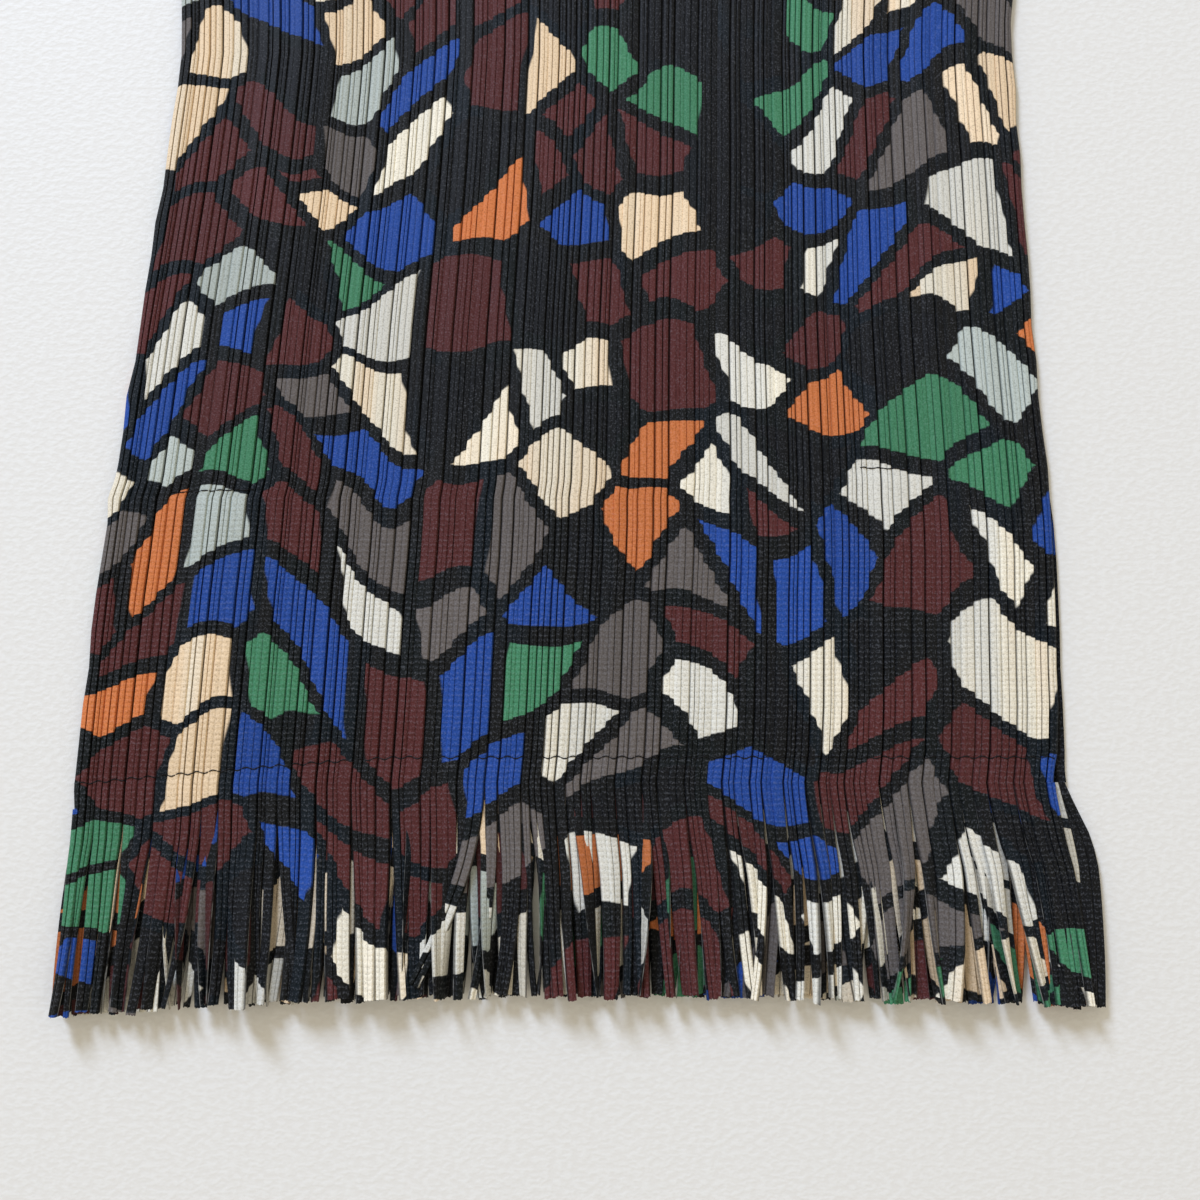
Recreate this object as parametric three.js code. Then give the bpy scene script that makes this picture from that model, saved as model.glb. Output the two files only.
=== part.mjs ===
// A sleeveless pleated top with a cut fringe along its hem, lying on its back on a flat surface.
// Millimetres. X runs across the top, Y from the fringe up to the shoulders, Z up from the surface.

import * as THREE from 'three';

const { lerp, clamp } = THREE.MathUtils;

// Driving sizes of the body
const SEAM_GAP = 0.3;
const SHOULDER_Y = 348;
const SHOULDER_DROP = 15;
const UNDERARM_Y = 160;
const CENTRE_X = 7.5;
const CHEST_HALF = 190.5;
const SHOULDER_HALF = 150;
const NECK_HALF = 95;
const FRONT_NECK_DEPTH = 75;
const BACK_NECK_DEPTH = 25;
const ARMHOLE_BASE = 70;

// Driving sizes of the cloth
const BACK_THICKNESS = 2;
const FRONT_WALL = 1.2;
const EDGE_WALL = 1;
const PLEATS = 78;
const PLEAT_DEPTH = 1.35;
const PLEAT_WIDTH_SPREAD = 0.42;
const PLEAT_DEPTH_SPREAD = 0.2;
const PLEAT_ROW_SPREAD = 0.1;
const PLEAT_TOP_START = 0.22;
const PLEAT_TOP_END = 0.84;
const SIDE_ROUNDING = 9;
const INSIDE_STEP = 8;
const STEEP_STEP = 3;

// Driving sizes of the hem
const STITCH_Y = -247.3;
const STITCH_SIDE_DROP = 11;
const STITCH_DROP_START = 70;
const TIP_Y = -340;
const TIP_DROP_LEFT = 7.7;
const TIP_DROP_RIGHT = 4;
const TIP_JITTER = 2;
const HALF_HEM = 206;
const STRIP_DEPTH = 10;
const STRIP_COLUMNS = 16;
const STRAND_THICKNESS = 1;
const ROOT_SPREAD = 0.2;
const TIP_SPREAD = 0.5;
const ROOT_FILL = 0.86;
const TIP_FILL = 0.78;
const WIDEST_TIP = 6.5;

// Side lines of the front, and how far the back stands past its right edge
const sections = [
  { y: -352, left: -206.6, right: 206.2, peek: 0 },
  { y: -292, left: -204.8, right: 206.6, peek: 0 },
  { y: -280, left: -203.9, right: 205, peek: 0 },
  { y: -258, left: -203.6, right: 195.6, peek: 1 },
  { y: -240, left: -202.8, right: 194.4, peek: 1.6 },
  { y: -183, left: -199.6, right: 194.9, peek: 1.6 },
  { y: -158, left: -197.3, right: 195.7, peek: 1.6 },
  { y: -141, left: -196.2, right: 194.8, peek: 0.4 },
  { y: -133, left: -194, right: 194.4, peek: 0 },
  { y: -68, left: -187.7, right: 191.2, peek: 0 },
  { y: 0, left: -180, right: 189.6, peek: 0 },
  { y: 55, left: -175, right: 187.8, peek: 0 },
  { y: 83, left: -176, right: 189.5, peek: 0 },
  { y: UNDERARM_Y, left: CENTRE_X - CHEST_HALF, right: CENTRE_X + CHEST_HALF, peek: 0 },
];

// Heights of the rows of points between the stop stitch and the armholes
const bodyRows = [-200, -141, -133, -55, 55, 150];

// Shares of the way from the last body row to the neck, shoulder or armhole edge
const upperRows = [0.35, 0.7, 1];

// The four layers of the fringe, from the top one down: lift and ripple raise the tips
const fringes = [
  { name: 'fringe_front', strands: 66, sides: 4, steps: 3, z: 4.4, lift: 1.9, ripple: 0.9, seed: 1 },
  { name: 'fringe_front_under', strands: 60, sides: 3, steps: 2, z: 3.05, lift: 0.95, ripple: 0, seed: 4 },
  { name: 'fringe_back_under', strands: 60, sides: 3, steps: 2, z: 1.7, lift: 0.4, ripple: 0, seed: 7 },
  { name: 'fringe_back', strands: 60, sides: 3, steps: 2, z: 0.35, lift: 0, ripple: 0, seed: 9 },
];

// Plain colours of the cloth, one a piece
const colours = {
  front: 0x24262c,
  back: 0x2a2725,
  fringe_front: 0x3a2226,
  fringe_front_under: 0x26418f,
  fringe_back_under: 0x2f6b45,
  fringe_back: 0xc9bda4,
};

// A repeatable unevenness between -1 and 1 for item k of a row of pleats or strands
function unevenness(k, seed) {
  const quick = 0.5 * Math.sin(2.4 * k + seed);
  const middling = 0.3 * Math.sin(0.93 * k + 2 * seed);
  const slow = 0.2 * Math.sin(0.31 * k + 3 * seed);
  return quick + middling + slow;
}

// Edges of a number of neighbouring slots that share the width from 0 to 1 unevenly
function slotEdges(count, spread, seed) {
  const edges = [0];
  for (let k = 0; k < count; k += 1) {
    edges.push(edges[k] + 1 + spread * unevenness(k, seed));
  }
  const total = edges[count];
  return edges.map((edge) => edge / total);
}

// The side lines at height y
function sidesAt(y) {
  const above = clamp(sections.findIndex((section) => section.y >= y), 1, sections.length - 1);
  const upper = y > UNDERARM_Y ? sections.length - 1 : above;
  const a = sections[upper - 1];
  const b = sections[upper];
  const share = clamp((y - a.y) / (b.y - a.y), 0, 1);
  return {
    left: lerp(a.left, b.left, share),
    right: lerp(a.right, b.right, share),
    peek: lerp(a.peek, b.peek, share),
  };
}

// The place across the top of a pleat or strand that lies at share u of its width
function across(u, y, isBack) {
  const sides = sidesAt(y);
  return lerp(sides.left, sides.right + (isBack ? sides.peek : 0), u);
}

// The line of the stop stitch, which hangs lower towards the left side seam
function stitchLine(u) {
  const x = across(u, STITCH_Y, false);
  const share = Math.max(0, -x - STITCH_DROP_START) / (HALF_HEM - STITCH_DROP_START);
  return STITCH_Y - STITCH_SIDE_DROP * share ** 1.2;
}

// The line of the fringe tips
function tipLine(u) {
  const x = across(u, TIP_Y, false);
  const drop = x < 0 ? TIP_DROP_LEFT : TIP_DROP_RIGHT;
  return TIP_Y - drop * (x / HALF_HEM) ** 2;
}

// The upper edge of a panel: neck curve, shoulder slope, then the curved foot of the armhole
function topEdge(u, neckDepth) {
  const out = Math.abs(across(u, UNDERARM_Y, false) - CENTRE_X);
  if (out < NECK_HALF) {
    return SHOULDER_Y - neckDepth * Math.sqrt(1 - (out / NECK_HALF) ** 2);
  }
  if (out <= SHOULDER_HALF) {
    return SHOULDER_Y - SHOULDER_DROP * (out - NECK_HALF) / (SHOULDER_HALF - NECK_HALF);
  }
  const inward = clamp((CHEST_HALF - out) / (CHEST_HALF - SHOULDER_HALF), 0, 1);
  return UNDERARM_Y + ARMHOLE_BASE * (1 - Math.sqrt(1 - inward ** 2));
}

// Three columns of points for each pleat: its groove and the two edges of its flat top
function pleatColumns() {
  const grooves = slotEdges(PLEATS, PLEAT_WIDTH_SPREAD, 2);
  const columns = [];
  for (let k = 0; k < PLEATS; k += 1) {
    const depth = 1 - PLEAT_DEPTH_SPREAD + PLEAT_DEPTH_SPREAD * unevenness(k, 5);
    const lower = 1 - PLEAT_DEPTH_SPREAD * (1 + unevenness(k, 8));
    columns.push({ u: grooves[k], rise: 0 });
    columns.push({ u: lerp(grooves[k], grooves[k + 1], PLEAT_TOP_START), rise: depth });
    columns.push({ u: lerp(grooves[k], grooves[k + 1], PLEAT_TOP_END), rise: depth * lower });
  }
  columns.push({ u: 1, rise: 0 });
  return columns;
}

// Every so many of the columns, and those where the upper edge is steep, for a plain face
function plainColumns(columns, neckDepth, step) {
  const tops = columns.map((column) => topEdge(column.u, neckDepth));
  return columns.filter((column, i) => {
    const before = tops[Math.max(i - 1, 0)];
    const after = tops[Math.min(i + 1, tops.length - 1)];
    const steep = Math.max(Math.abs(tops[i] - before), Math.abs(tops[i] - after)) > STEEP_STEP;
    return steep || i % step === 0 || i === columns.length - 1;
  });
}

// Fills the strip between two rows of points that each have their own spacing
function joinRows(faces, lower, upper, along) {
  let i = 0;
  let j = 0;
  while (i < lower.length - 1 || j < upper.length - 1) {
    const lowerLeft = i < lower.length - 1;
    if (j === upper.length - 1 || (lowerLeft && lower[i + 1][along] <= upper[j + 1][along])) {
      faces.push(lower[i].index, lower[i + 1].index, upper[j].index);
      i += 1;
    } else {
      faces.push(lower[i].index, upper[j + 1].index, upper[j].index);
      j += 1;
    }
  }
}

function geometryOf(positions, faces) {
  const geometry = new THREE.BufferGeometry();
  geometry.setAttribute('position', new THREE.Float32BufferAttribute(positions, 3));
  geometry.setIndex(faces);
  return geometry;
}

// A closed sheet: an upper and a lower face, each on its own columns, joined all round by a wall
function sheetGeometry({ upperColumns, lowerColumns, rows, isBack, upperZ, lowerZ }) {
  const positions = [];
  const faces = [];
  const faceRows = (columns, heightOf) => rows.map((rowY, row) => columns.map((column) => {
    const y = rowY(column.u);
    const x = across(column.u, y, isBack);
    positions.push(x, y, heightOf(column, x, y, row));
    return { index: positions.length / 3 - 1, u: column.u, row };
  }));
  const upper = faceRows(upperColumns, upperZ);
  const lower = faceRows(lowerColumns, lowerZ);
  const last = rows.length - 1;
  for (let row = 0; row < last; row += 1) {
    joinRows(faces, upper[row], upper[row + 1], 'u');
    joinRows(faces, lower[row + 1], lower[row], 'u');
  }
  joinRows(faces, lower[0], upper[0], 'u');
  joinRows(faces, upper[last], lower[last], 'u');
  joinRows(faces, upper.map((row) => row[0]), lower.map((row) => row[0]), 'row');
  joinRows(faces, lower.map((row) => row.at(-1)), upper.map((row) => row.at(-1)), 'row');
  return geometryOf(positions, faces);
}

// Rows of a panel from the stop stitch to its neck, shoulder and armhole edges
function panelRows(neckDepth) {
  const lastBody = bodyRows.at(-1);
  return [
    stitchLine,
    ...bodyRows.map((y) => () => y),
    ...upperRows.map((share) => (u) => lerp(lastBody, topEdge(u, neckDepth), share)),
  ];
}

function frontGeometry() {
  const columns = pleatColumns();
  const inside = BACK_THICKNESS + SEAM_GAP;
  return sheetGeometry({
    upperColumns: columns,
    lowerColumns: plainColumns(columns, FRONT_NECK_DEPTH, INSIDE_STEP),
    rows: panelRows(FRONT_NECK_DEPTH),
    isBack: false,
    upperZ: (column, x, y, row) => {
      const sides = sidesAt(y);
      const fromSide = clamp(Math.min(x - sides.left, sides.right - x) / SIDE_ROUNDING, 0, 1);
      const rounded = Math.sqrt(1 - (1 - fromSide) ** 2);
      const depth = PLEAT_DEPTH * (1 + PLEAT_ROW_SPREAD * unevenness(row, column.u * PLEATS));
      const full = FRONT_WALL + depth * column.rise;
      return inside + lerp(EDGE_WALL, full, rounded);
    },
    lowerZ: () => inside,
  });
}

function backGeometry() {
  const columns = plainColumns(pleatColumns(), BACK_NECK_DEPTH, 2 * INSIDE_STEP);
  return sheetGeometry({
    upperColumns: columns,
    lowerColumns: columns,
    rows: panelRows(BACK_NECK_DEPTH),
    isBack: true,
    upperZ: () => BACK_THICKNESS,
    lowerZ: () => 0,
  });
}

// One cross-section of a strand, flat below, and flat or ridged above, as a loop of points
function strandSection(x, y, z, width, thick, sides) {
  const half = width / 2;
  const feet = [[x - half, y, z], [x + half, y, z]];
  const crown = sides === 3 ? [[x, y, z + thick]] : [[x + half, y, z + thick], [x - half, y, z + thick]];
  return [...feet, ...crown];
}

// The sections of every strand of a layer: each keeps to its own slot, which drifts on its way down
function strandSections(fringe) {
  const roots = slotEdges(fringe.strands, ROOT_SPREAD, fringe.seed);
  const tips = slotEdges(fringe.strands, TIP_SPREAD, fringe.seed + 3);
  const strands = [];
  for (let k = 0; k < fringe.strands; k += 1) {
    const rootU = (roots[k] + roots[k + 1]) / 2;
    const tipU = (tips[k] + tips[k + 1]) / 2;
    const startY = stitchLine(rootU) - SEAM_GAP - STRIP_DEPTH;
    const endY = tipLine(tipU) + TIP_JITTER * unevenness(k, fringe.seed + 6);
    const lift = fringe.lift + fringe.ripple * unevenness(k, fringe.seed + 2);
    const rings = [];
    for (let step = 0; step <= fringe.steps; step += 1) {
      const share = step / fringe.steps;
      const y = lerp(startY, endY, share);
      const span = across(1, y, false) - across(0, y, false);
      const rootWidth = ROOT_FILL * (roots[k + 1] - roots[k]) * span;
      const tipWidth = Math.min(TIP_FILL * (tips[k + 1] - tips[k]) * span, WIDEST_TIP);
      const x = across(lerp(rootU, tipU, share), y, false);
      const z = fringe.z + lift * share ** 2;
      const width = lerp(rootWidth, tipWidth, share);
      rings.push(strandSection(x, y, z, width, STRAND_THICKNESS, fringe.sides));
    }
    strands.push(rings);
  }
  return strands;
}

// One layer of the fringe: an uncut strip under the stop stitch, and the strands that grow out of it
function fringeGeometry(fringe) {
  const positions = [];
  const faces = [];
  const addPoint = ([x, y, z]) => {
    positions.push(x, y, z);
    return { index: positions.length / 3 - 1, u: x };
  };
  const low = fringe.z;
  const high = fringe.z + STRAND_THICKNESS;
  const stripRow = (count, z, down) => slotEdges(count, 0, 0).map((u) => {
    const y = stitchLine(u) - SEAM_GAP - down;
    return addPoint([across(u, y, false), y, z]);
  });
  const stitchLow = stripRow(STRIP_COLUMNS, low, 0);
  const stitchHigh = stripRow(STRIP_COLUMNS, high, 0);
  const [leftLow, rightLow] = stripRow(1, low, STRIP_DEPTH);
  const [leftHigh, rightHigh] = stripRow(1, high, STRIP_DEPTH);
  const strands = strandSections(fringe).map((rings) => rings.map((ring) => ring.map(addPoint)));
  const feet = strands.map((rings) => rings[0].slice(0, 2));
  const crowns = strands.map((rings) => rings[0].slice(2).reverse());

  const rootLow = [leftLow, ...feet.flat(), rightLow];
  const rootHigh = [leftHigh, ...crowns.flat(), rightHigh];
  joinRows(faces, rootHigh, stitchHigh, 'u');
  joinRows(faces, stitchLow, rootLow, 'u');
  joinRows(faces, stitchHigh, stitchLow, 'u');
  faces.push(leftLow.index, leftHigh.index, stitchHigh[0].index);
  faces.push(leftLow.index, stitchHigh[0].index, stitchLow[0].index);
  faces.push(rightLow.index, stitchLow.at(-1).index, stitchHigh.at(-1).index);
  faces.push(rightLow.index, stitchHigh.at(-1).index, rightHigh.index);
  for (let gap = 0; gap <= strands.length; gap += 1) {
    const lower = [gap === 0 ? leftLow : feet[gap - 1][1], gap === strands.length ? rightLow : feet[gap][0]];
    const upper = [
      gap === 0 ? leftHigh : crowns[gap - 1].at(-1),
      gap === strands.length ? rightHigh : crowns[gap][0],
    ];
    joinRows(faces, lower, upper, 'u');
  }

  for (const rings of strands) {
    const count = rings[0].length;
    for (let step = 0; step < rings.length - 1; step += 1) {
      for (let side = 0; side < count; side += 1) {
        const next = (side + 1) % count;
        const [a, b] = [rings[step][side].index, rings[step][next].index];
        const [c, d] = [rings[step + 1][next].index, rings[step + 1][side].index];
        faces.push(a, b, c, a, c, d);
      }
    }
    const tip = rings.at(-1);
    for (let side = 1; side < count - 1; side += 1) {
      faces.push(tip[0].index, tip[side].index, tip[side + 1].index);
    }
  }
  return geometryOf(positions, faces);
}

function meshOf(name, geometry) {
  const material = new THREE.MeshStandardMaterial({ color: colours[name], roughness: 0.85, metalness: 0 });
  geometry.computeVertexNormals();
  const mesh = new THREE.Mesh(geometry, material);
  mesh.name = name;
  return mesh;
}

const top = new THREE.Group();
top.add(meshOf('front', frontGeometry()));
top.add(meshOf('back', backGeometry()));
for (const fringe of fringes) {
  top.add(meshOf(fringe.name, fringeGeometry(fringe)));
}

export default top;
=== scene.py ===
import math

import bpy
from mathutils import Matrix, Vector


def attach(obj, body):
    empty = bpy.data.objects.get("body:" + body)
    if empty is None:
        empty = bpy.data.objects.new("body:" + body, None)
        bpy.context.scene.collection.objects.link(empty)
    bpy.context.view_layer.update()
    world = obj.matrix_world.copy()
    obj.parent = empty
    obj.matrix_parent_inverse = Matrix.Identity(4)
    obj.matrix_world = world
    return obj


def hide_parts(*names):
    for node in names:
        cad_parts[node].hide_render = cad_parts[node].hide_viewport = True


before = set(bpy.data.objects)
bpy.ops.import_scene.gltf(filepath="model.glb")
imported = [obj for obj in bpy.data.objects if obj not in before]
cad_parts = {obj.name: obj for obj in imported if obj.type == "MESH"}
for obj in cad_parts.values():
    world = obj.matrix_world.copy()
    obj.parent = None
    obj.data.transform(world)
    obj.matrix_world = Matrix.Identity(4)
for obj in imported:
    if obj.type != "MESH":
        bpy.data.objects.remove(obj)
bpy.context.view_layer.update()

MM = 0.001

# Sizes of the body, in millimetres
SHOULDER_Y = 348
SHOULDER_DROP = 15
UNDERARM_Y = 160
CENTRE_X = 7.5
CHEST_HALF = 190.5
SHOULDER_HALF = 150
NECK_HALF = 95
FRONT_NECK_DEPTH = 75
BACK_NECK_DEPTH = 25
ARMHOLE_BASE = 70
EDGE_STITCH = 5

# Sizes of the pleats, as counts or shares of a pleat's width
PLEATS = 78
PLEAT_WIDTH_SPREAD = 0.42
GROOVE_STRENGTH = dict(mean=0.7, spread=0.66, least=0.25)
PRINT_TAKE_UP = 3.0
CREASE_TAKE_UP = 0.5
HEM_WIDTH = 412

# Sizes of the hem, in millimetres
STITCH_Y = -247.3
STITCH_SIDE_DROP = 11
STITCH_DROP_START = 70
UNCUT_DEPTH = 10
TIP_Y = -340
TIP_DROP_LEFT = 7.7
TIP_DROP_RIGHT = 4
TIP_JITTER = 1.5
TIP_RAGGEDNESS = 0.45
HALF_HEM = 206
CUT_LENGTH = SHOULDER_Y - STITCH_Y + STITCH_SIDE_DROP + UNCUT_DEPTH

# Side lines in millimetres: how far the back stands past the right edge, and the front stays inside it
SIDE_LINES = [
    dict(y=-352, left=-206.6, right=206.2, peek=0, inset=5),
    dict(y=-292, left=-204.8, right=206.6, peek=0, inset=10),
    dict(y=-280, left=-203.9, right=205, peek=0, inset=11),
    dict(y=-258, left=-203.6, right=195.6, peek=1, inset=4.6),
    dict(y=-240, left=-202.8, right=194.4, peek=1.6, inset=0.6),
    dict(y=-183, left=-199.6, right=194.9, peek=1.6, inset=0),
    dict(y=-158, left=-197.3, right=195.7, peek=1.6, inset=0),
    dict(y=-141, left=-196.2, right=194.8, peek=0.4, inset=0),
    dict(y=-133, left=-194, right=194.4, peek=0, inset=0),
    dict(y=-68, left=-187.7, right=191.2, peek=0, inset=0),
    dict(y=0, left=-180, right=189.6, peek=0, inset=0),
    dict(y=55, left=-175, right=187.8, peek=0, inset=0),
    dict(y=83, left=-176, right=189.5, peek=0, inset=0),
    dict(y=UNDERARM_Y, left=CENTRE_X - CHEST_HALF, right=CENTRE_X + CHEST_HALF, peek=0, inset=0),
]

# Points across one pleat: its place, and how far it has come up out of the groove
PLEAT_PROFILE = [(0, 0), (0.055, 0.4), (0.12, 0.84), (0.885, 0.86), (0.94, 0.48)]

# The crease that splits each pleat into two ridges, as shares of the pleat's width and height
CREASE = dict(at=0.5, shift=0.17, half_width=0.06, raised=0.92)
SHARPNESS = dict(mean=0.55, spread=0.8, least=0.12)

# Where each ridge is highest: between these shoulders and the crease, as a share of the way
SHOULDERS = (0.12, 0.885)
RIDGE_TOP = 0.45

# Short rows of stitches that hold the pleats flat near the side seams
TACKS = [dict(left=-171, right=-136, y=-137.5, rise=0.6), dict(left=116, right=137, y=-128, rise=-0.4)]

# How deep stitches pull the cloth, and how far beside and past them this reaches, in millimetres
TACK_PULL = dict(depth=0.55, reach=2.2, past_end=4)
STITCH_PULL = dict(depth=0.5, reach=2.4)

# Heights of the panels' rows of points, in millimetres: over the cut line, then up the body
ROWS_OVER_CUT = (0, 4, 7.6, 10, 12.4)
LOWER_ROWS = [-226 + 15 * step for step in range(6)]
TACK_ROWS = [-140.5, -137.5, -134, -131, -128, -125]
MIDDLE_ROWS = [-112 + 15.4 * step for step in range(18)]
UPPER_ROWS = 12

# Soft ridges and troughs of the front as it lies, in millimetres and degrees, and the back's share
SOFT_FOLDS = [
    dict(x=-118, y=62, angle=82, length=150, width=15, height=1.0),
    dict(x=-42, y=-48, angle=97, length=190, width=11, height=-0.4),
    dict(x=62, y=36, angle=84, length=160, width=17, height=1.2),
    dict(x=131, y=-160, angle=93, length=120, width=10, height=0.8),
    dict(x=-152, y=-186, angle=87, length=90, width=12, height=0.9),
    dict(x=-8, y=-170, angle=92, length=110, width=14, height=0.7),
    dict(x=18, y=205, angle=66, length=120, width=14, height=1.0),
    dict(x=-96, y=246, angle=112, length=110, width=12, height=0.8),
    dict(x=112, y=228, angle=71, length=130, width=13, height=1.1),
    dict(x=160, y=10, angle=95, length=130, width=9, height=-0.4),
]
BACK_SHARE = 0.35

# Layers of the fringe from the top down: sizes in millimetres
FRINGES = [
    dict(name="fringe_front", strands=66, rows=18, base=2.95, depth=1.75, lift=3.6, sway=4.5, seed=3),
    dict(name="fringe_front_under", strands=60, rows=13, base=2.3, depth=0.6, lift=2.3, sway=7.5, seed=4),
    dict(name="fringe_back_under", strands=60, rows=13, base=1.9, depth=0.6, lift=1.2, sway=7, seed=7),
    dict(name="fringe_back", strands=60, rows=13, base=1.95, depth=1.3, lift=0.3, sway=5, seed=8),
]

# How strands stray: waves in millimetres, shares of a layer's sway, and the calmer strip at each side
STRAY = dict(
    short_wave=9.5,
    short_share=0.5,
    long_wave=23,
    long_share=0.4,
    own_share=0.6,
    still_edge=8,
    eased_over=25,
)

# Places where the strands part, and strands of the top layer that lie across their neighbours
PARTINGS = [
    dict(x=-150, reach=8, push=2.2),
    dict(x=-97, reach=9, push=2.6),
    dict(x=-21, reach=9, push=4.0),
    dict(x=52, reach=7, push=2.4),
    dict(x=108, reach=8, push=3.8),
    dict(x=166, reach=8, push=4.2),
]
CROSSINGS = [
    dict(x=-41, lean=-25, rise=3.4),
    dict(x=-33, lean=-9, rise=2.0),
    dict(x=134, lean=-15, rise=3.2),
    dict(x=142, lean=-7, rise=2.4),
    dict(x=-118, lean=9, rise=2.2),
    dict(x=72, lean=-8, rise=2.2),
]


def unevenness(k, seed):
    """A repeatable unevenness between -1 and 1 for item k of a row of pleats or strands."""
    quick = 0.5 * math.sin(2.4 * k + seed)
    middling = 0.3 * math.sin(0.93 * k + 2 * seed)
    slow = 0.2 * math.sin(0.31 * k + 3 * seed)
    return quick + middling + slow


def slot_edges(count, spread, seed):
    """Edges of neighbouring slots that share the width from 0 to 1 unevenly."""
    edges = [0]
    for k in range(count):
        edges.append(edges[k] + 1 + spread * unevenness(k, seed))
    return [edge / edges[-1] for edge in edges]


def lerp(a, b, share):
    return a + (b - a) * share


def clamp(value, low, high):
    return max(low, min(high, value))


def sides_at(y):
    """Left edge, right edge, the back's peek and the front's inset at height y."""
    above = next((i for i, line in enumerate(SIDE_LINES) if line["y"] >= y), len(SIDE_LINES) - 1)
    a, b = SIDE_LINES[max(above, 1) - 1], SIDE_LINES[max(above, 1)]
    share = clamp((y - a["y"]) / (b["y"] - a["y"]), 0, 1)
    return [lerp(a[key], b[key], share) for key in ("left", "right", "peek", "inset")]


def span_at(y, side=""):
    """Left and right edge at height y, of the whole outline where no side is named."""
    left, right, peek, inset = sides_at(y)
    return left, right + {"front": -inset, "between": -0.6 * inset, "back": peek}.get(side, 0)


def across(u, y, side=""):
    left, right = span_at(y, side)
    return lerp(left, right, u)


def stitch_line(u):
    """The stop stitch, which hangs lower towards the left side seam."""
    share = max(0, -across(u, STITCH_Y) - STITCH_DROP_START) / (HALF_HEM - STITCH_DROP_START)
    return STITCH_Y - STITCH_SIDE_DROP * share**1.2


def cut_line(u):
    return stitch_line(u) - UNCUT_DEPTH


def tip_line(u):
    x = across(u, TIP_Y)
    drop = TIP_DROP_LEFT if x < 0 else TIP_DROP_RIGHT
    return TIP_Y - drop * (x / HALF_HEM) ** 2


def top_edge(u, neck_depth):
    """Neck curve, shoulder slope, then the curved foot of the armhole."""
    out = abs(across(u, UNDERARM_Y) - CENTRE_X)
    if out < NECK_HALF:
        return SHOULDER_Y - neck_depth * math.sqrt(1 - (out / NECK_HALF) ** 2)
    if out <= SHOULDER_HALF:
        return SHOULDER_Y - SHOULDER_DROP * (out - NECK_HALF) / (SHOULDER_HALF - NECK_HALF)
    inward = clamp((CHEST_HALF - out) / (CHEST_HALF - SHOULDER_HALF), 0, 1)
    return UNDERARM_Y + ARMHOLE_BASE * (1 - math.sqrt(1 - inward**2))


def groove_strength(k):
    """How deep groove k is, as a share of the deepest."""
    strength = GROOVE_STRENGTH["mean"] + GROOVE_STRENGTH["spread"] * unevenness(k, 5)
    return clamp(strength, GROOVE_STRENGTH["least"], 1)


def pleat_columns():
    """Columns of points across the whole cloth: ten for each pleat, and one at the end."""
    edges = slot_edges(PLEATS, PLEAT_WIDTH_SPREAD, 2)
    columns = []
    for k in range(PLEATS):
        width = edges[k + 1] - edges[k]
        middle = CREASE["at"] + CREASE["shift"] * unevenness(k, 11)
        sharpness = SHARPNESS["mean"] + SHARPNESS["spread"] * unevenness(1.7 * k, 13)
        profile = [(phase, raised, 0) for phase, raised in PLEAT_PROFILE]
        profile += [(lerp(shoulder, middle, RIDGE_TOP), 1, 0) for shoulder in SHOULDERS]
        for step, sharp in ((-1, 0), (0, clamp(sharpness, SHARPNESS["least"], 1)), (1, 0)):
            profile.append((middle + CREASE["half_width"] * step, CREASE["raised"], sharp))
        for phase, raised, crease in sorted(profile):
            passed = clamp(0.5 + (phase - middle) / CREASE["half_width"] / 2, 0, 1)
            strength = groove_strength(k if phase < 0.5 else k + 1)
            columns.append(
                dict(
                    u=edges[k] + phase * width,
                    pleat=k,
                    phase=phase,
                    groove=1 - strength * (1 - raised),
                    crease=crease,
                    lane=edges[k] * PRINT_TAKE_UP + (phase + CREASE_TAKE_UP * passed) * width,
                )
            )
    columns.append(dict(u=1, pleat=PLEATS - 1, phase=1, groove=0, crease=0, lane=PRINT_TAKE_UP))
    return columns


COLUMNS = pleat_columns()
COLUMN_FACTS = ("pleat", "phase", "groove", "crease")


def sag_at(x, y, share):
    """Height that the soft folds and the tack stitches add to the cloth, in millimetres."""
    total = 0
    for fold in SOFT_FOLDS:
        angle = math.radians(fold["angle"])
        dx, dy = x - fold["x"], y - fold["y"]
        along = dx * math.cos(angle) + dy * math.sin(angle)
        beside = dy * math.cos(angle) - dx * math.sin(angle)
        fall = math.exp(-((beside / fold["width"]) ** 2) - (along / fold["length"] * 1.6) ** 4)
        total += fold["height"] * fall * share
    for tack in TACKS:
        outside = max(tack["left"] - x, x - tack["right"], 0)
        beside = (y - tack["y"]) / TACK_PULL["reach"]
        total -= TACK_PULL["depth"] * math.exp(-(beside**2) - (outside / TACK_PULL["past_end"]) ** 2)
    return total


class ClothMesh:
    """A flat cloth in the making: points with their named facts, and the faces between them."""

    def __init__(self, name):
        self.name = name
        self.points = []
        self.faces = []
        self.facts = {}
        self.cloth = []

    def grid(self, rows):
        """Adds a grid. A row is a list of (x, y, lane, cloth y, facts), in millimetres."""
        first = len(self.points)
        width = len(rows[0])
        for row in rows:
            for x, y, lane, cloth_y, facts in row:
                self.points.append((x * MM, y * MM, 0))
                self.cloth.extend((lane * HEM_WIDTH * MM, cloth_y * MM, 0))
                for key, value in facts.items():
                    self.facts.setdefault(key, []).append(value)
        for j in range(len(rows) - 1):
            for i in range(width - 1):
                a = first + j * width + i
                self.faces.append((a, a + 1, a + 1 + width, a + width))

    def mesh(self):
        mesh = bpy.data.meshes.new(self.name)
        mesh.from_pydata(self.points, [], self.faces)
        for key, values in self.facts.items():
            mesh.attributes.new(key, "FLOAT", "POINT").data.foreach_set("value", values)
        mesh.attributes.new("cloth", "FLOAT_VECTOR", "POINT").data.foreach_set("vector", self.cloth)
        return mesh


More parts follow.
